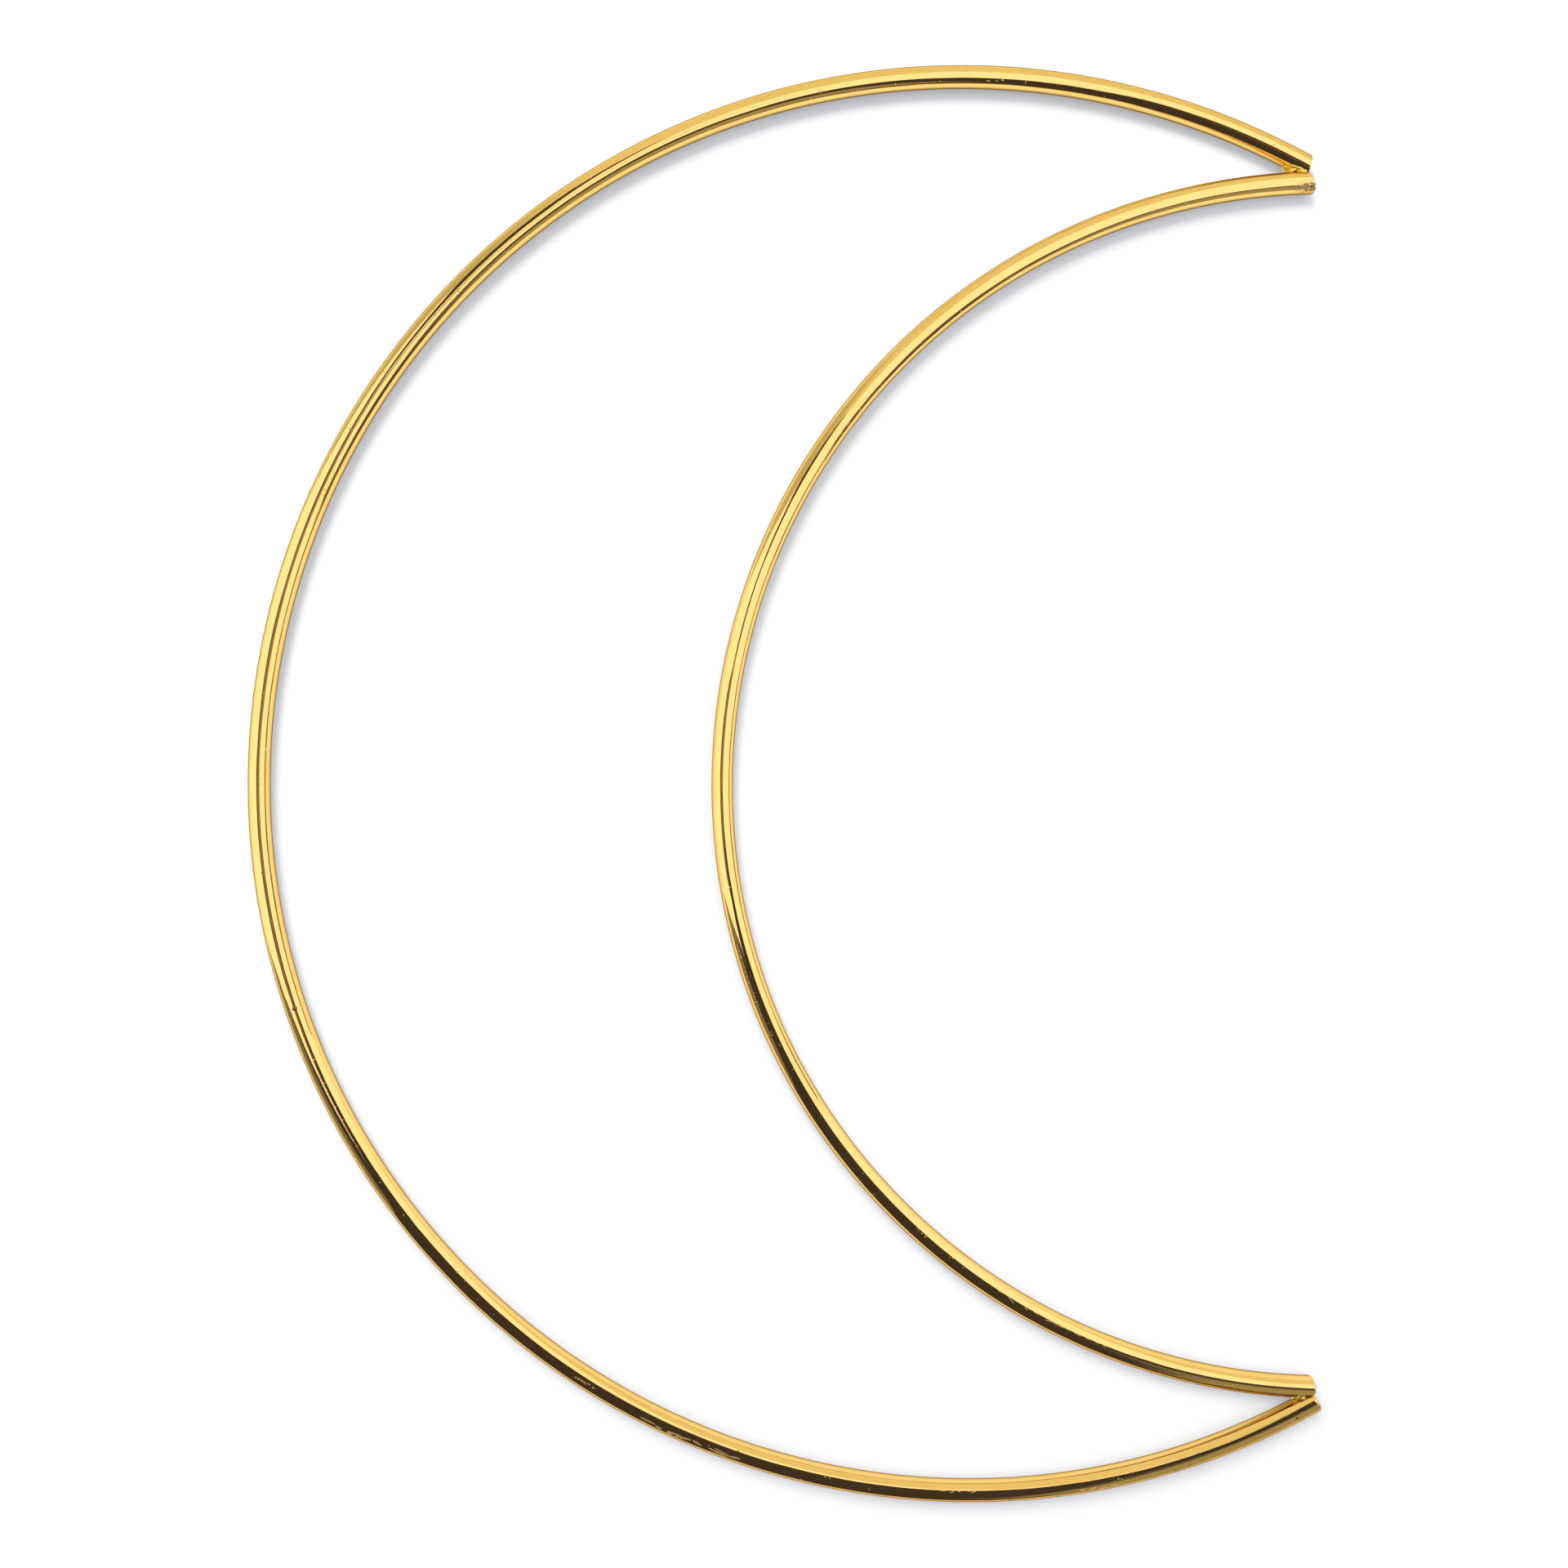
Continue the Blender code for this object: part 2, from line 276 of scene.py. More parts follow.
def bright_gold(name):
    """Bright gold plating: a mirror with lengthwise draw lines, a slow change of tint, and a few pits.

    Its mirror is tinted dark at grazing angles, which is painted shade at the wires' rims. The attribute
    "worn" makes it grainy and dull.
    """
    material, tree, shader = new_finish(name)
    place = add_node(tree, "ShaderNodeUVMap", {"uv_map": "length_and_turn"}).outputs["UV"]

    stretched = add_node(tree, "ShaderNodeMapping", values={"Vector": place, "Scale": DRAW_LINE_SCALE})
    lines = flat_noise(tree, stretched.outputs["Vector"], 1.0, 3.0, 0.55)
    drawn = add_node(
        tree, "ShaderNodeBump", values={"Strength": 1.0, "Distance": DRAW_LINE_DEPTH, "Height": lines}
    ).outputs["Normal"]

    cells = add_node(
        tree, "ShaderNodeTexVoronoi", {"voronoi_dimensions": "2D"}, {"Vector": place, "Scale": PIT_SCALE}
    )
    chance = add_node(tree, "ShaderNodeSeparateColor", values={"Color": cells.outputs["Color"]})
    reach = ramp(tree, chance.outputs["Red"], PIT_CHANCE, PIT_REACH)
    pits = add_node(
        tree,
        "ShaderNodeMapRange",
        {"interpolation_type": "SMOOTHSTEP"},
        {"Value": cells.outputs["Distance"], "From Min": reach, "From Max": 0.0},
    ).outputs["Result"]
    pitted = add_node(
        tree,
        "ShaderNodeBump",
        values={"Strength": 1.0, "Distance": PIT_DEPTH, "Height": pits, "Normal": drawn},
    ).outputs["Normal"]

    worn = add_node(tree, "ShaderNodeAttribute", {"attribute_name": "worn"}).outputs["Fac"]
    grain = flat_noise(tree, place, GRAIN_SCALE, 3.0)
    grainy = add_node(
        tree,
        "ShaderNodeBump",
        values={"Strength": worn, "Distance": GRAIN_DEPTH, "Height": grain, "Normal": pitted},
    ).outputs["Normal"]

    tint = blend(tree, flat_noise(tree, place, TINT_SCALE, 2.0), WIRE_GOLD, WIRE_GOLD_DEEPER)
    blotches = blend(tree, ramp(tree, grain, GRAIN_DARK), WORN_PALE, WORN_DARK)
    gloss = ramp(tree, lines, NOISE_MIDDLE, WIRE_ROUGHNESS)
    dulled = add_node(tree, "ShaderNodeMix", values={"Factor": worn, "A": gloss, "B": WORN_ROUGHNESS})
    tree.links.new(blend(tree, worn, tint, blotches), shader.inputs["Base Color"])
    tree.links.new(dulled.outputs["Result"], shader.inputs["Roughness"])
    tree.links.new(grainy, shader.inputs["Normal"])
    shader.inputs["Metallic"].default_value = 1.0
    # Painted shade: a dark mirror tint at grazing angles darkens the wires' rims.
    shader.inputs["Specular Tint"].default_value = WIRE_RIM_PAINTED_SHADE
    return material


points, tips, angle, along, around = bent_wire(
    OUTER_CENTRE_X,
    OUTER_RADIUS,
    OUTER_UPPER_END,
    OUTER_LOWER_END,
    (sheared_end, snipped_end),
    outer_bend,
    roll_relief(OUTER_ROLL_SEED),
    OUTER_STATIONS,
    OUTER_SIDES,
)
outer_wire = skin_rings("outer_wire", points, tips, along)
scuff_along = (angle - SCUFF_ANGLE) / SCUFF_LENGTH
scuff_across = turn_from(around, SCUFF_TURN) / SCUFF_BREADTH
scuff = SCUFF * np.exp(-(scuff_along**4) - scuff_across**4)
paint(outer_wire, "worn", np.maximum(cut_face_wear(angle), scuff))
wire_gold = bright_gold("bright_gold_wire")
outer_wire.data.materials.append(wire_gold)
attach(outer_wire, "root")
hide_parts("outer_arc_wire")

# Flecks on the outer wire
# Specks that were caught under the plating and plated over, thin flakes and a few scrapes raised by the
# bending rolls. They are of the same gold; one spot near the middle shows the copper under it.
FLECK_ROWS, FLECK_SIDES = 4, 8
FLECK_STEEPNESS = 0.75
FLECK_SHIFT, FLECK_TURN_SHIFT, FLECK_LEAN = 0.6, 6.0, 14.0
FLECK_LENGTH_CHANCE, FLECK_BREADTH_CHANCE = 0.5, 0.4
FLECK_FLATTEST = 0.5
OUTER_FLECK_SEED = 21
FLECK_GOLD, FLECK_GOLD_DEEPER = (0.97, 0.70, 0.28, 1.0), (0.93, 0.58, 0.17, 1.0)
BARE_COPPER = (0.36, 0.13, 0.06, 1.0)
FLECK_ROUGHNESS = (0.32, 0.55)
FLECK_PATCH_SCALE = 4000.0
# A row is: first and last arc degree, turn round the wire in degrees, how many, half length along the wire
# and half breadth round it in mm, and how coppery.
OUTER_FLECKS = [
    (82.1, 82.6, 120, 2, 0.05, 0.16, 0.0),
    (85.2, 85.2, 129, 1, 0.05, 0.26, 0.0),
    (86.6, 88.6, 130, 3, 0.30, 0.06, 0.0),
    (95.8, 95.8, 137, 1, 0.06, 0.16, 0.0),
    (101.8, 102.3, 118, 2, 0.06, 0.34, 0.0),
    (102.8, 102.8, 144, 1, 0.07, 0.12, 0.0),
    (104.8, 104.8, 88, 1, 0.07, 0.07, 0.5),
    (121.8, 121.8, 91, 1, 0.06, 0.12, 0.0),
    (128.3, 128.3, 86, 1, 0.08, 0.12, 0.0),
    (130.8, 130.8, 142, 1, 0.07, 0.16, 0.0),
    (150.1, 150.1, 97, 1, 0.16, 0.20, 0.6),
    (153.6, 156.2, 127, 9, 0.06, 0.15, 0.0),
    (170.4, 170.4, 98, 1, 0.08, 0.08, 0.9),
    (178.7, 180.5, 111, 2, 0.07, 0.09, 0.9),
    (187.2, 187.2, 95, 1, 0.07, 0.08, 0.9),
    (198.5, 198.5, 105, 1, 0.34, 0.36, 1.0),
    (199.2, 199.2, 66, 1, 0.06, 0.10, 0.2),
    (204.4, 211.0, 98, 13, 0.13, 0.07, 0.0),
    (214.2, 214.2, 98, 1, 0.10, 0.09, 0.0),
    (223.7, 224.7, 120, 2, 0.06, 0.28, 0.1),
    (226.6, 229.3, 92, 2, 0.06, 0.22, 0.5),
    (236.4, 238.6, 90, 7, 0.23, 0.15, 0.0),
    (243.4, 246.9, 72, 5, 0.95, 0.10, 0.0),
    (246.9, 251.6, 77, 5, 1.05, 0.12, 0.0),
    (248.7, 248.7, 88, 1, 0.07, 0.12, 0.1),
    (258.2, 259.0, 110, 3, 0.12, 0.10, 0.0),
    (262.1, 262.1, 83, 1, 0.05, 0.22, 0.1),
    (267.8, 270.9, 107, 6, 0.30, 0.06, 0.0),
    (278.8, 282.9, 70, 5, 0.70, 0.10, 0.0),
    (281.8, 282.9, 93, 3, 0.14, 0.10, 0.0),
    (286.6, 289.4, 48, 3, 0.60, 0.10, 0.0),
    (290.0, 290.0, 84, 1, 0.05, 0.20, 0.0),
    (296.9, 296.9, 78, 1, 0.34, 0.13, 0.0),
    (297.5, 297.5, 80, 1, 0.20, 0.20, 0.95),
]


def plating_flecks(centre_x, radius, bend, rows, seed):
    """Closed eggs that sit half sunk in a wire's skin, and how coppery each of them is.

    The eggs of a row are spread evenly over it, each moved, sized and turned a little by chance. At angle q
    from its tail and s round it an egg reaches -length cos q along the wire, breadth sin q cos s round it and
    height sin q sin s out of it, and it bends with the wire. None is higher than the wire's top.
    """
    draw = np.random.default_rng(seed)
    rings = np.linspace(0, np.pi, FLECK_ROWS + 2)[1:-1]
    turns = 2 * np.pi * np.arange(FLECK_SIDES) / FLECK_SIDES
    q = np.concatenate([[0.0, np.pi], rings.repeat(FLECK_SIDES)])
    s = np.concatenate([[0.0, 0.0], np.tile(turns, FLECK_ROWS)])
    skin = WIRE_RADIUS - PLATING_ROOM - 2 * ROLL_RELIEF
    shells, copper = [], []
    for first, last, turn, count, length, breadth, coppery in rows:
        for step in range(count):
            chance = draw.uniform(-1, 1, 5) * (count > 1)
            share = (step + 0.5 + FLECK_SHIFT * chance[0]) / count
            middle = np.radians(first + share * (last - first))
            side = np.radians(turn + FLECK_TURN_SHIFT * chance[1])
            half_length = length * MM * (1 + FLECK_LENGTH_CHANCE * chance[2])
            half_breadth = breadth * MM * (1 + FLECK_BREADTH_CHANCE * chance[3])
            lean = np.radians(FLECK_LEAN * chance[4])
            room = WIRE_RADIUS / max(np.sin(side), FLECK_FLATTEST) - skin
            height = min(FLECK_STEEPNESS * min(half_length, half_breadth), room)
            ahead, aside = -half_length * np.cos(q), half_breadth * np.sin(q) * np.cos(s)
            a = middle + (ahead * np.cos(lean) - aside * np.sin(lean)) / radius
            p = side + (aside * np.cos(lean) + ahead * np.sin(lean)) / WIRE_RADIUS
            ceiling = WIRE_RADIUS / np.maximum(np.sin(p), FLECK_FLATTEST)
            width = np.minimum(skin + height * np.sin(q) * np.sin(s), ceiling)
            reach = radius + bend(a) + width * np.cos(p)
            up = WIRE_RADIUS + width * np.sin(p)
            egg = np.stack([centre_x + reach * np.cos(a), reach * np.sin(a), up], -1)
            shells.append((egg[2:].reshape(FLECK_ROWS, FLECK_SIDES, 3), egg[:2]))
            copper.append(np.full(len(egg), coppery))
    return shells, np.concatenate(copper)


def skin_shells(name, shells):
    """One piece of several closed shells, each a stack of rings with a tip at each end."""
    points, faces, base = [], [], 0
    for rings, tips in shells:
        count, sides = rings.shape[:2]
        quads, fans = ring_faces(count, sides)
        points += [rings.reshape(-1, 3), tips]
        faces += (base + quads).tolist() + (base + fans).tolist()
        base += count * sides + 2
    return smooth_piece(name, np.concatenate(points), faces)


def solid_noise(tree, scale, detail):
    """Noise in three dimensions, in the frame's own coordinates."""
    place = add_node(tree, "ShaderNodeTexCoord").outputs["Object"]
    values = {"Vector": place, "Scale": scale, "Detail": detail}
    return add_node(tree, "ShaderNodeTexNoise", values=values).outputs["Fac"]


def fleck_gold(name):
    """The plating on a fleck: the wire's gold, uneven, and copper-red where the attribute "copper" says."""
    material, tree, shader = new_finish(name)
    patches = solid_noise(tree, FLECK_PATCH_SCALE, 3.0)
    copper = add_node(tree, "ShaderNodeAttribute", {"attribute_name": "copper"}).outputs["Fac"]
    tint = blend(tree, patches, FLECK_GOLD, FLECK_GOLD_DEEPER)
    gloss = ramp(tree, patches, NOISE_MIDDLE, FLECK_ROUGHNESS)
    tree.links.new(blend(tree, copper, tint, BARE_COPPER), shader.inputs["Base Color"])
    tree.links.new(gloss, shader.inputs["Roughness"])
    shader.inputs["Metallic"].default_value = 1.0
    return material


shells, copper = plating_flecks(OUTER_CENTRE_X, OUTER_RADIUS, outer_bend, OUTER_FLECKS, OUTER_FLECK_SEED)
outer_flecks = skin_shells("outer_flecks", shells)
paint(outer_flecks, "copper", copper)
speck_gold = fleck_gold("bright_gold_fleck")
outer_flecks.data.materials.append(speck_gold)
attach(outer_flecks, "root")

# Inner arc wire
# The short wire of the crescent, of the same plated steel, bent to a smaller arc. Its ends were ground to
# blunt noses before the welding, so that they lie flat against the outer wire.
INNER_LOW, INNER_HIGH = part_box("inner_arc_wire")
INNER_REACH = INNER_HIGH.y
INNER_RADIUS = INNER_REACH - WIRE_RADIUS
INNER_CENTRE_X = INNER_LOW.x + INNER_REACH
UPPER_NOSE_SHORTER, LOWER_NOSE_SHORTER = 0.30 * MM, 0.25 * MM
INNER_END = np.arccos((INNER_HIGH.x - INNER_CENTRE_X) / INNER_RADIUS)
INNER_UPPER_END = INNER_END + UPPER_NOSE_SHORTER / INNER_RADIUS
INNER_LOWER_END = 2 * np.pi - INNER_END - LOWER_NOSE_SHORTER / INNER_RADIUS
INNER_STATIONS, INNER_SIDES = 2000, 44
INNER_ROLL_SEED = 5
NOSE_BEVEL = 0.12 * MM
NOSE_UP_DROP, NOSE_UP_FROM = 0.35 * MM, 0.2
NOSE_CURVE = 2.2
UPPER_NOSE_PEAK, UPPER_NOSE_WELD_DROP, UPPER_NOSE_BAY_DROP = -0.75, 1.20 * MM, 0.15 * MM
LOWER_NOSE_PEAK, LOWER_NOSE_WELD_DROP, LOWER_NOSE_BAY_DROP = 0.10, 1.90 * MM, 0.55 * MM
INNER_TIGHTER = 0.07 * MM
INNER_UPPER_SWELL, INNER_UPPER_SWELL_SPAN = 0.22 * MM, np.radians((95, 135))
INNER_LOWER_SWELL, INNER_LOWER_SWELL_SPAN = 0.09 * MM, np.radians((170, 260))
INNER_BULGE, INNER_BULGE_AT, INNER_BULGE_SPREAD = 0.17 * MM, np.radians(204), np.radians(20)
RUB_LENGTH, RUB_TURN, RUB_BREADTH = 2.4 * MM, np.radians(138), np.radians(30)


def ground_nose(peak, weld_drop, bay_drop):
    """A nose that reaches furthest at one place across the wire and falls away beside it and upwards."""

    def end(across, up):
        outward = np.clip((across - peak) / (1 - peak), 0, 1)
        inward = np.clip((peak - across) / (1 + peak), 0, 1)
        lift = np.clip((np.abs(up) - NOSE_UP_FROM) / (1 - NOSE_UP_FROM), 0, 1)
        fall = weld_drop * outward**NOSE_CURVE + bay_drop * inward**NOSE_CURVE + NOSE_UP_DROP * lift**2
        return -fall - rounded_rim(across, up, NOSE_BEVEL)

    return end


def ease(value, low, high):
    """0 below low, 1 above high, and an S-curve between."""
    share = np.clip((value - low) / (high - low), 0, 1)
    return share * share * (3 - 2 * share)


def inner_bend(angle):
    """How far the inner centreline strays from its circle: two steps out, and a bulge below the middle."""
    steps = INNER_UPPER_SWELL * ease(angle, *INNER_UPPER_SWELL_SPAN)
    steps = steps + INNER_LOWER_SWELL * ease(angle, *INNER_LOWER_SWELL_SPAN)
    bulge = INNER_BULGE * np.exp(-(((angle - INNER_BULGE_AT) / INNER_BULGE_SPREAD) ** 2))
    return steps + bulge - INNER_TIGHTER


points, tips, angle, along, around = bent_wire(
    INNER_CENTRE_X,
    INNER_RADIUS,
    INNER_UPPER_END,
    INNER_LOWER_END,
    (
        ground_nose(UPPER_NOSE_PEAK, UPPER_NOSE_WELD_DROP, UPPER_NOSE_BAY_DROP),
        ground_nose(LOWER_NOSE_PEAK, LOWER_NOSE_WELD_DROP, LOWER_NOSE_BAY_DROP),
    ),
    inner_bend,
    roll_relief(INNER_ROLL_SEED),
    INNER_STATIONS,
    INNER_SIDES,
)
inner_wire = skin_rings("inner_wire", points, tips, along)
rub = np.exp(-((along / RUB_LENGTH) ** 4)) * np.exp(-((turn_from(around, RUB_TURN) / RUB_BREADTH) ** 4))
paint(inner_wire, "worn", np.maximum(cut_face_wear(angle), rub))
inner_wire.data.materials.append(wire_gold)
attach(inner_wire, "root")
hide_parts("inner_arc_wire")

# Flecks on the inner wire
# The same specks and scrapes on the short wire, plated over with it, and a row of slightly coppery ones
# above its middle. The rows are written as those of the outer wire are.
INNER_FLECK_SEED = 22
INNER_FLECKS = [
    (99.9, 100.9, 118, 2, 0.10, 0.12, 0.0),
    (106.7, 106.7, 120, 1, 0.05, 0.18, 0.0),
    (108.1, 108.1, 98, 1, 0.07, 0.07, 0.9),
    (121.3, 123.6, 145, 2, 0.09, 0.10, 0.1),
    (138.6, 144.4, 122, 10, 0.15, 0.07, 0.15),
    (149.0, 149.0, 142, 1, 0.08, 0.14, 0.0),
    (149.5, 150.0, 70, 2, 0.05, 0.12, 0.0),
    (151.5, 151.5, 96, 1, 0.06, 0.12, 0.0),
    (159.2, 159.2, 62, 1, 0.06, 0.07, 0.9),
    (171.4, 171.4, 92, 1, 0.08, 0.07, 0.9),
    (179.0, 179.0, 93, 1, 0.05, 0.16, 0.1),
    (195.7, 198.3, 64, 7, 0.06, 0.17, 0.0),
    (200.0, 201.2, 71, 4, 0.06, 0.15, 0.0),
    (203.2, 204.5, 82, 3, 0.10, 0.10, 0.0),
    (219.9, 219.9, 93, 1, 0.08, 0.08, 0.2),
    (222.1, 222.1, 60, 1, 0.05, 0.12, 0.2),
    (227.2, 228.0, 97, 3, 0.15, 0.07, 0.0),
    (228.3, 228.3, 95, 1, 0.10, 0.20, 0.0),
    (230.9, 233.0, 97, 3, 0.18, 0.07, 0.0),
    (236.8, 248.6, 98, 14, 0.45, 0.05, 0.0),
    (260.5, 261.6, 82, 3, 0.30, 0.12, 0.0),
]
shells, copper = plating_flecks(INNER_CENTRE_X, INNER_RADIUS, inner_bend, INNER_FLECKS, INNER_FLECK_SEED)
inner_flecks = skin_shells("inner_flecks", shells)
paint(inner_flecks, "copper", copper)
inner_flecks.data.materials.append(speck_gold)
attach(inner_flecks, "root")

# Upper tip weld
# A small bead of weld metal in the crotch where the two wires meet, left as it set and plated over with the
# wires. It runs from the crotch up into the groove between them, in a few overlapping drops.
UPPER_WELD_LOW, UPPER_WELD_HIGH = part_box("upper_tip_weld")
BEAD_HALF_HEIGHT = (UPPER_WELD_HIGH.z - UPPER_WELD_LOW.z) / 2
BEAD_STATIONS, BEAD_SIDES = 80, 32
BEAD_WAVES = 9
BEAD_BEATS, BEAD_LOBES = (2, 8), (0, 4)
BEAD_ROUGHNESS = 0.02
BEAD_ENDS = (0.03, 0.97)
DROP_ROWS, DROP_SIDES = 13, 20
DROP_ROUGHNESS = 0.03
DROP_SWELLS = ((1, 2), (2, 1), (3, 2), (2, 3))
UPPER_WELD_SEED = 11
UPPER_BEAD_HALF_WIDTH = 0.40 * MM
UPPER_BEAD_X = (69.2 * MM, 70.5 * MM, 71.9 * MM, 72.9 * MM)
UPPER_BEAD_Y = (85.70 * MM, 85.43 * MM, 85.12 * MM, 84.95 * MM)
WELD_GOLD, WELD_GOLD_DEEPER = (1.0, 0.78, 0.19, 1.0), (0.98, 0.69, 0.13, 1.0)
WELD_ROUGHNESS = (0.16, 0.34)
WELD_PATCH_SCALE, PUCKER_SCALE, PUCKER_DEPTH = 1600.0, 5200.0, 0.0015 * MM
# A drop is: its middle in mm, its heading in degrees, and its half length, width and height in mm.
UPPER_DROPS = [
    ((71.95, 84.86, 2.30), 3, (0.95, 0.22, 0.30)),
    ((70.55, 85.06, 2.16), 16, (0.90, 0.24, 0.32)),
]


def bead_route(xs, ys, share):
    """The cubic curve at mid-height that passes four points at shares 0, 1/3, 2/3 and 1 of the way."""
    at = np.arange(4) / 3
    x, y = np.polyval(np.polyfit(at, xs, 3), share), np.polyval(np.polyfit(at, ys, 3), share)
    return np.stack([x, y, WIRE_RADIUS + 0 * share], -1)


def lumpy_bead(xs, ys, half_width, seed):
    """Rings of a weld bead: an upright oval along a cubic route, round at both ends, with lumps.

    At share s of the route and angle p round it the oval's half width and half height shrink by the square
    root of sin(pi s), and both swell and sink by a few waves in s and p.
    """
    draw = np.random.default_rng(seed)
    share = (1 - np.cos(np.pi * np.linspace(*BEAD_ENDS, BEAD_STATIONS))) / 2
    around = 2 * np.pi * np.arange(BEAD_SIDES) / BEAD_SIDES
    middle = bead_route(xs, ys, share)
    ahead = np.gradient(middle, axis=0)
    ahead /= np.linalg.norm(ahead, axis=1, keepdims=True)
    left = np.stack([-ahead[:, 1], ahead[:, 0], 0 * share], -1)
    lumps = np.zeros((BEAD_STATIONS, BEAD_SIDES))
    for _ in range(BEAD_WAVES):
        beats, lobes = draw.integers(*BEAD_BEATS), draw.integers(*BEAD_LOBES)
        shift, turn = draw.uniform(0, 2 * np.pi, 2)
        lumps += np.cos(2 * np.pi * beats * share[:, None] + shift) * np.cos(lobes * around + turn)
    size = np.sqrt(np.sin(np.pi * share))[:, None] * (1 + BEAD_ROUGHNESS * lumps / np.sqrt(BEAD_WAVES))
    across, up = half_width * size * np.cos(around), BEAD_HALF_HEIGHT * size * np.sin(around)
    upright = np.array([0.0, 0.0, 1.0])
    rings = middle[:, None] + across[..., None] * left[:, None] + up[..., None] * upright
    return rings, bead_route(xs, ys, np.array([0.0, 1.0]))


def solid_drop(centre, heading, sizes, draw):
    """Rings of a solid drop: an egg of half sizes (length, width, height), its length turned to a heading.

    At angle q from its tail and p round it the point is
    (-length cos q, width sin q cos p, height sin q sin p), swollen by a few seeded waves in q and p.
    """
    q = np.linspace(0, np.pi, DROP_ROWS + 2)[1:-1, None]
    p = 2 * np.pi * np.arange(DROP_SIDES) / DROP_SIDES
    swell = np.ones((DROP_ROWS, DROP_SIDES))
    for beat, lobe in DROP_SWELLS:
        shift, turn = draw.uniform(0, 2 * np.pi, 2)
        swell += DROP_ROUGHNESS * np.cos(beat * q + shift) * np.cos(lobe * p + turn) * np.sin(q)
    length, width, height = np.array(sizes) * MM
    ahead = np.array([np.cos(heading), np.sin(heading), 0.0])
    left = np.array([-ahead[1], ahead[0], 0.0])
    upright = np.array([0.0, 0.0, 1.0])
    x = -length * np.cos(q) * swell
    y, z = width * np.sin(q) * np.cos(p) * swell, height * np.sin(q) * np.sin(p) * swell
    middle = np.array(centre) * MM
    rings = middle + x[..., None] * ahead + y[..., None] * left + z[..., None] * upright
    return rings, np.array([middle - length * ahead, middle + length * ahead])


def weld_shells(xs, ys, half_width, drops, seed):
    """A bead and the drops that lie on it."""
    draw = np.random.default_rng(seed)
    bead = lumpy_bead(xs, ys, half_width, seed)
    return [bead] + [solid_drop(centre, np.radians(turn), sizes, draw) for centre, turn, sizes in drops]


def weld_gold(name):
    """Plating over weld metal: a deeper yellow, duller in patches, with a fine puckered skin."""
    material, tree, shader = new_finish(name)
    patches = solid_noise(tree, WELD_PATCH_SCALE, 4.0)
    pucker = solid_noise(tree, PUCKER_SCALE, 3.0)
    skin = add_node(
        tree, "ShaderNodeBump", values={"Strength": 1.0, "Distance": PUCKER_DEPTH, "Height": pucker}
    ).outputs["Normal"]
    tree.links.new(blend(tree, patches, WELD_GOLD, WELD_GOLD_DEEPER), shader.inputs["Base Color"])
    tree.links.new(ramp(tree, patches, NOISE_MIDDLE, WELD_ROUGHNESS), shader.inputs["Roughness"])
    tree.links.new(skin, shader.inputs["Normal"])
    shader.inputs["Metallic"].default_value = 1.0
    return material


shells = weld_shells(UPPER_BEAD_X, UPPER_BEAD_Y, UPPER_BEAD_HALF_WIDTH, UPPER_DROPS, UPPER_WELD_SEED)
upper_weld = skin_shells("upper_weld", shells)
bead_gold = weld_gold("bright_gold_weld")
upper_weld.data.materials.append(bead_gold)
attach(upper_weld, "root")
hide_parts("upper_tip_weld")

# Lower tip weld
# The same bead at the lower tip, shorter, because the inner wire's nose ends sooner there. It leaves a small
# open gap between the two wires at the tip itself.
LOWER_WELD_SEED = 17
LOWER_BEAD_HALF_WIDTH = 0.44 * MM
LOWER_BEAD_X = (70.6 * MM, 71.3 * MM, 72.0 * MM, 72.7 * MM)
LOWER_BEAD_Y = (-85.42 * MM, -85.22 * MM, -85.02 * MM, -84.86 * MM)
LOWER_DROPS = [
    ((71.85, -84.55, 2.56), 27, (0.95, 0.28, 0.30)),
    ((71.05, -85.00, 2.24), 20, (0.80, 0.32, 0.34)),
]
shells = weld_shells(LOWER_BEAD_X, LOWER_BEAD_Y, LOWER_BEAD_HALF_WIDTH, LOWER_DROPS, LOWER_WELD_SEED)
lower_weld = skin_shells("lower_weld", shells)
lower_weld.data.materials.append(bead_gold)
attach(lower_weld, "root")
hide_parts("lower_tip_weld")

# Table
# The matt white table that the frame lies on, which keeps the frame's shadow. It belongs to the studio, as
# all that follows does, and not to the object.
TABLE_SIZE = 12.0
TABLE_WHITE = 0.45
TABLE_LIFT = 0.35
TABLE_ROUGHNESS, TABLE_SHEEN = 0.8, 0.2


def stage_mesh(name, points, faces, material):
    """A studio piece: a mesh that isn't part of the object."""
    mesh = bpy.data.meshes.new(name)
    mesh.from_pydata(np.asarray(points, float).tolist(), [], faces)
    mesh.materials.append(material)
    made = bpy.data.objects.new(name, mesh)
    bpy.context.scene.collection.objects.link(made)
    return made


def table_white():
    """Matt white; what the camera and mirrors see of it is lifted a little, and the shadow stays."""
    material, tree, shader = new_finish("table_white")
    shader.inputs["Base Color"].default_value = (TABLE_WHITE, TABLE_WHITE, TABLE_WHITE, 1.0)
    shader.inputs["Roughness"].default_value = TABLE_ROUGHNESS
    shader.inputs["Specular IOR Level"].default_value = TABLE_SHEEN
    shader.inputs["Emission Color"].default_value = (1.0, 1.0, 1.0, 1.0)
    light = add_node(tree, "ShaderNodeLightPath")
    seen = light.outputs["Is Camera Ray"]
    for ray in ("Is Glossy Ray", "Is Transmission Ray"):
        either = {0: seen, 1: light.outputs[ray]}
        seen = add_node(tree, "ShaderNodeMath", {"operation": "MAXIMUM"}, either).outputs["Value"]
    lift = add_node(tree, "ShaderNodeMath", {"operation": "MULTIPLY"}, {0: seen, 1: TABLE_LIFT})
    tree.links.new(lift.outputs["Value"], shader.inputs["Emission Strength"])
    return material


half = TABLE_SIZE / 2
table_corners = [(-half, -half, 0), (half, -half, 0), (half, half, 0), (-half, half, 0)]
stage_mesh("table", table_corners, [(0, 1, 2, 3)], table_white())

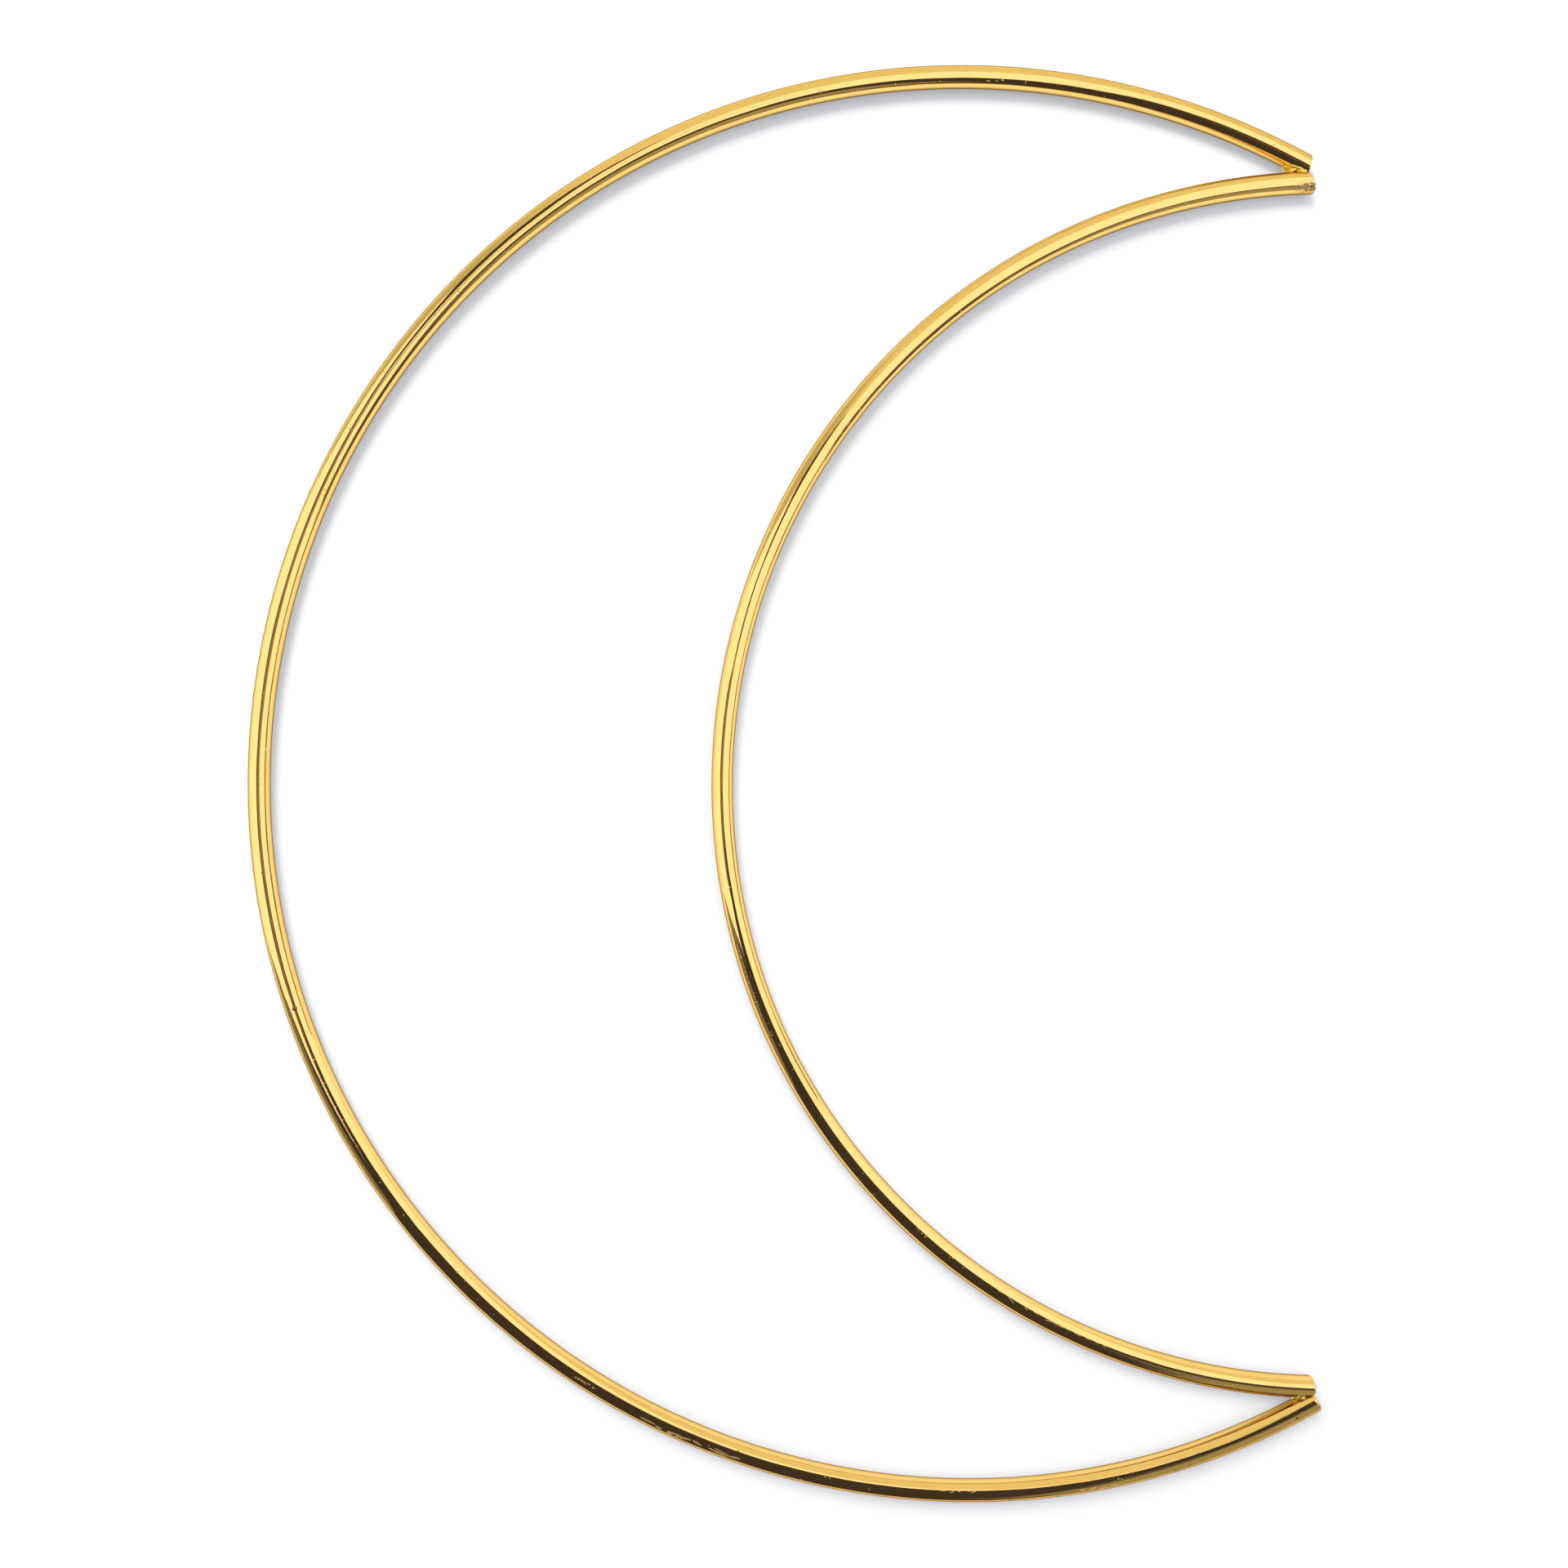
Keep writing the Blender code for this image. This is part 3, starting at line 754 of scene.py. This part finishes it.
# White wall and dark drape
# A dome round the table that glows softly: a white wall on the left, at the back and on the right, dimmer at
# the back left, and a dark drape in front with two paler folds, which gives the gold its dark bands.
DOME_DISTANCE, DOME_FOOT = 4.0, 90.5
DOME_ROWS, WALL_STEPS, DRAPE_STEPS = 46, 72, 60
WALL, WALL_BACK_LEFT, WALL_DIMS = 0.87, 0.60, (112, 126)
WALL_COLOUR = (1.0, 0.98, 0.80)
DRAPE_FROM, DRAPE_FOLD, DRAPE_TO = 194.0, 221.5, 340.0
DRAPE_DARK, DRAPE_LEFT, DRAPE_RIGHT = 0.05, 0.25, 0.38
FOLD_EDGE = 0.2
LEFT_FOLD_FALL, RIGHT_FOLD_TURN = (42, 56), (280, 298)
CREASE, CREASE_TURN, CREASE_FALL = 0.8, (320, 326), (54, 64)
CLOTH_COLOUR, LIT_CLOTH_COLOUR = (1.0, 0.93, 1.3), (1.0, 0.94, 0.78)
CLOTH_LIT = (0.05, 0.33)


def glow(name, colour, strength=1.0, lit_colour=None):
    """Light from a surface, as bright all over, or with a lit colour as bright as its attribute "level" says.

    Where the level is above a third, the light has the lit colour.
    """
    material = bpy.data.materials.new(name)
    material.use_nodes = True
    tree = material.node_tree
    tree.nodes.remove(tree.nodes["Principled BSDF"])
    shine = add_node(tree, "ShaderNodeEmission", values={"Color": (*colour, 1.0), "Strength": strength})
    if lit_colour:
        level = add_node(tree, "ShaderNodeAttribute", {"attribute_name": "level"}).outputs["Fac"]
        mixed = blend(tree, ramp(tree, level, CLOTH_LIT), (*colour, 1.0), (*lit_colour, 1.0))
        tree.links.new(level, shine.inputs["Strength"])
        tree.links.new(mixed, shine.inputs["Color"])
    tree.links.new(shine.outputs["Emission"], tree.nodes["Material Output"].inputs["Surface"])
    return material


def unseen(piece):
    """Keeps a studio piece out of the picture, though it lights the frame and shows in the gold."""
    piece.visible_camera = False
    return piece


def sky_way(azimuth, polar):
    """The way to a place in the studio, by its azimuth and its angle from straight up, in degrees."""
    a, p = np.radians(azimuth), np.radians(polar)
    return np.stack([np.cos(a) * np.sin(p), np.sin(a) * np.sin(p), np.cos(p) + 0 * a], -1)


def dome_grid(azimuth, polar, distance):
    """Points of a part of a dome on a grid of azimuths and angles from straight up, and its quads."""
    a, p = np.broadcast_arrays(azimuth, polar)
    count, rows = a.shape
    i, j = np.arange(count - 1)[:, None] * rows, np.arange(rows - 1)[None, :]
    quads = np.stack([i + j, i + j + 1, i + j + rows + 1, i + j + rows], -1).reshape(-1, 4)
    return distance * sky_way(a, p).reshape(-1, 3), quads.tolist()


def lit_dome(name, azimuth, polar, level, colour, lit_colour):
    """A part of the dome whose light changes from place to place."""
    light = glow(name + "_light", colour, lit_colour=lit_colour)
    light.cycles.emission_sampling = "NONE"
    part = unseen(stage_mesh(name, *dome_grid(azimuth, polar, DOME_DISTANCE), light))
    paint(part, "level", level + 0 * azimuth * polar)


falls = np.linspace(0.0, DOME_FOOT, DOME_ROWS)[None, :]
turns = np.linspace(DRAPE_TO - 360, DRAPE_FROM, WALL_STEPS)[:, None]
wall_level = WALL - (WALL - WALL_BACK_LEFT) * ease(turns, *WALL_DIMS)
lit_dome("white_wall", turns, falls, wall_level, WALL_COLOUR, WALL_COLOUR)

fold_edges = [DRAPE_FOLD - FOLD_EDGE, DRAPE_FOLD + FOLD_EDGE]
turns = np.sort(np.append(np.linspace(DRAPE_FROM, DRAPE_TO, DRAPE_STEPS), fold_edges))[:, None]
left_fold = (DRAPE_LEFT - DRAPE_DARK) * (turns < DRAPE_FOLD) * ease(falls, *LEFT_FOLD_FALL)
right_fold = (DRAPE_RIGHT - DRAPE_DARK) * ease(turns, *RIGHT_FOLD_TURN)
crease = (DRAPE_RIGHT - DRAPE_DARK) * CREASE * ease(turns, *CREASE_TURN) * ease(falls, *CREASE_FALL)
drape_level = DRAPE_DARK + left_fold + right_fold - crease
lit_dome("dark_drape", turns, falls, drape_level, CLOTH_COLOUR, LIT_CLOTH_COLOUR)

# Softbox, leaning panel and rig
# Bright panels over the table: a softbox on the left, and on the right a leaning panel with a wing at its
# front. A dark rig runs overhead in the gap between them and follows their edges.
PANEL_DISTANCE, PANEL_FOOT, RIG_DROP = 2.6, 89.8, 0.15
LEFT_LEVEL, RIGHT_LEVEL, RIG_LEVEL = 1.33, 1.30, 0.07
LEFT_COLOUR, RIGHT_COLOUR, RIG_COLOUR = (1.0, 1.0, 1.12), (1.0, 0.99, 1.10), (1.0, 0.9, 0.9)
LEFT_FEET, RIGHT_FEET = (194.0, 155.0), (-19.0, 37.0)
# Places on a ceiling one unit above the table, in that unit.
RIG_LEFT = ((-0.32, 0.46), (-0.15, 0.22), (-0.08, 0.05), (-0.07, -0.08), (-0.11, -0.17), (-0.40, -0.24))
RIG_RIGHT = ((-0.20, 0.52), (0.0, 0.30), (0.075, 0.09), (0.10, 0.0), (0.06, -0.12), (-0.10, -0.24))
RIGHT_PANEL_TOP = (0.10, 0.47)
RIGHT_WING_EDGE = ((0.02, -0.85), (1.0, -1.1), (1.6, -0.5))


def ceiling_way(place):
    """The way to a place on a ceiling one unit up: (x, y, 1), made one unit long."""
    x, y = place
    return np.array([x, y, 1.0]) / np.sqrt(x * x + y * y + 1)


def panel(name, ways, colour, strength):
    """A panel with its corners in the given ways, all at one distance."""
    light = glow(name + "_light", colour, strength)
    unseen(stage_mesh(name, PANEL_DISTANCE * np.array(ways), [tuple(range(len(ways)))], light))


rig_left, rig_right = [ceiling_way(place) for place in RIG_LEFT], [ceiling_way(place) for place in RIG_RIGHT]
left_feet = [sky_way(turn, PANEL_FOOT) for turn in LEFT_FEET]
right_feet = [sky_way(turn, PANEL_FOOT) for turn in RIGHT_FEET]
wing_edge = [ceiling_way(place) for place in RIGHT_WING_EDGE]
right_ways = [ceiling_way(RIGHT_PANEL_TOP), *rig_right[1:4], *right_feet]
panel("left_softbox", left_feet + rig_left, LEFT_COLOUR, LEFT_LEVEL)
panel("right_panel", right_ways, RIGHT_COLOUR, RIGHT_LEVEL)
panel("right_wing", rig_right[3:5] + wing_edge, RIGHT_COLOUR, RIGHT_LEVEL)

spans = len(RIG_LEFT) - 1
rig_corners = (PANEL_DISTANCE - RIG_DROP) * np.array(rig_left + rig_right)
rig_faces = [(k, k + 1, k + spans + 2, k + spans + 1) for k in range(spans)]
unseen(stage_mesh("overhead_rig", rig_corners, rig_faces, glow("rig_grey", RIG_COLOUR, RIG_LEVEL)))

# Camera card, low strip and sleeve
# Three smaller things that the gold mirrors: a brown card above the camera, a grey strip low on the right,
# and a dark cloth sleeve just above the camera's height, lit at its front right. The card and the sleeve
# don't shade the table.
CAMERA_HEIGHT = 0.19
CARD_HEIGHT, CARD_LEFT, CARD_RIGHT, CARD_HALF_DEPTH = 0.27, -0.11, 0.045, 0.045
CARD_LEVELS = np.array([0.10, 0.44, 0.44, 0.10])
CARD_COLOUR = (1.0, 0.9, 0.8)
STRIP_DISTANCE, STRIP_LEVEL, STRIP_COLOUR = 1.2, 0.2, (1.0, 0.95, 0.9)
STRIP_TURNS, STRIP_FALLS = np.linspace(-24, 18, 24)[:, None], np.linspace(74, 87, 4)[None, :]
SLEEVE_HEIGHT = CAMERA_HEIGHT + 0.01
SLEEVE_TURNS = np.linspace(225, 334, 57)[:, None]
SLEEVE_REACH = np.array([[0.002, 0.03, 0.06, 0.09, 0.12, 0.16, 0.20, 0.25, 0.30, 0.36, 0.45, 0.6, 0.8]])
SLEEVE_LIT_X, SLEEVE_LIT_FRONT = (0.085, 0.13), (0.12, 0.18)
SLEEVE_CREASE, SLEEVE_CREASE_TURN, SLEEVE_CREASE_REACH = 0.9, (318, 326), (0.28, 0.40)


def mirrored_only(piece):
    """Keeps a studio piece from lighting or shading the table, so that only mirrors show it."""
    unseen(piece)
    piece.visible_diffuse = False
    piece.visible_shadow = False


near, far = -CARD_HALF_DEPTH, CARD_HALF_DEPTH
card_plan = ((CARD_LEFT, near), (CARD_RIGHT, near), (CARD_RIGHT, far), (CARD_LEFT, far))
card_corners = [(x, y, CARD_HEIGHT) for x, y in card_plan]
card_light = glow("card_brown", CARD_COLOUR, lit_colour=CARD_COLOUR)
card = stage_mesh("camera_card", card_corners, [(0, 1, 2, 3)], card_light)
paint(card, "level", CARD_LEVELS)
mirrored_only(card)

low_strip = dome_grid(STRIP_TURNS, STRIP_FALLS, STRIP_DISTANCE)
unseen(stage_mesh("low_strip", *low_strip, glow("strip_grey", STRIP_COLOUR, STRIP_LEVEL)))

sleeve_points, sleeve_quads = dome_grid(SLEEVE_TURNS, 90 + 0 * SLEEVE_REACH, 1.0)
sleeve_points *= np.tile(SLEEVE_REACH[0], len(SLEEVE_TURNS))[:, None]
sleeve_points[:, 2] = SLEEVE_HEIGHT
sleeve_x, sleeve_y = sleeve_points[:, :2].T.reshape(2, len(SLEEVE_TURNS), -1)
sleeve_lit = ease(sleeve_x, *SLEEVE_LIT_X) * ease(-sleeve_y, *SLEEVE_LIT_FRONT)
in_crease = ease(SLEEVE_TURNS, *SLEEVE_CREASE_TURN) * ease(SLEEVE_REACH, *SLEEVE_CREASE_REACH)
sleeve_lit = sleeve_lit * (1 - SLEEVE_CREASE * in_crease)
sleeve_cloth = glow("sleeve_cloth", CLOTH_COLOUR, lit_colour=LIT_CLOTH_COLOUR)
sleeve = stage_mesh("dark_sleeve", sleeve_points, sleeve_quads, sleeve_cloth)
paint(sleeve, "level", DRAPE_DARK + (DRAPE_RIGHT - DRAPE_DARK) * sleeve_lit)
mirrored_only(sleeve)

# Key light and surround
# One soft lamp at the back, a little to the left, which throws the frame's short shadow to the front; the
# gold doesn't mirror it. A white surround fills what the dome leaves open.
KEY_DISTANCE, KEY_SIZE, KEY_SHARE = 1.0, 0.52, 0.75
KEY_AZIMUTH, KEY_FALL = 112.0, 43.0
KEY_COLOUR = (1.0, 0.99, 0.95)
key_way = sky_way(KEY_AZIMUTH, KEY_FALL)
key = bpy.data.lights.new("key_light", "AREA")
key.size = KEY_SIZE
key.color = KEY_COLOUR
key.energy = KEY_SHARE * 4 * np.pi * KEY_DISTANCE**2 / key_way[2]
key_lamp = bpy.data.objects.new("key_light", key)
key_lamp.location = KEY_DISTANCE * key_way
key_lamp.rotation_mode = "QUATERNION"
key_lamp.rotation_quaternion = Vector(-key_way).to_track_quat("-Z", "Y")
key_lamp.visible_camera = False
key_lamp.visible_glossy = False
bpy.context.scene.collection.objects.link(key_lamp)

world = bpy.data.worlds.new("white_surround")
world.use_nodes = True
world.node_tree.nodes["Background"].inputs["Color"].default_value = (1.0, 1.0, 1.0, 1.0)
world.node_tree.nodes["Background"].inputs["Strength"].default_value = 1.0
bpy.context.scene.world = world

# Camera
# Straight above the middle of the frame, and so near that the wires turn their inner sides to it towards the
# edges of the picture. The gold throws no bright patches on the table.
PHOTO_SIDE, PHOTO_FRAME_HEIGHT, PHOTO_OFFSET = 1920, 1760, 0.5
PHOTO_PIXEL = 2 * OUTER_REACH / PHOTO_FRAME_HEIGHT
SENSOR_WIDTH = 36.0
camera = bpy.data.cameras.new("overhead_camera")
camera.sensor_width = SENSOR_WIDTH
camera.lens = SENSOR_WIDTH * CAMERA_HEIGHT / (PHOTO_SIDE * PHOTO_PIXEL)
overhead = bpy.data.objects.new("overhead_camera", camera)
overhead.location = (0.0, -PHOTO_OFFSET * PHOTO_PIXEL, CAMERA_HEIGHT + WIRE_RADIUS)
bpy.context.scene.collection.objects.link(overhead)
bpy.context.scene.camera = overhead
bpy.context.scene.view_settings.view_transform = "Standard"
bpy.context.scene.cycles.caustics_reflective = False
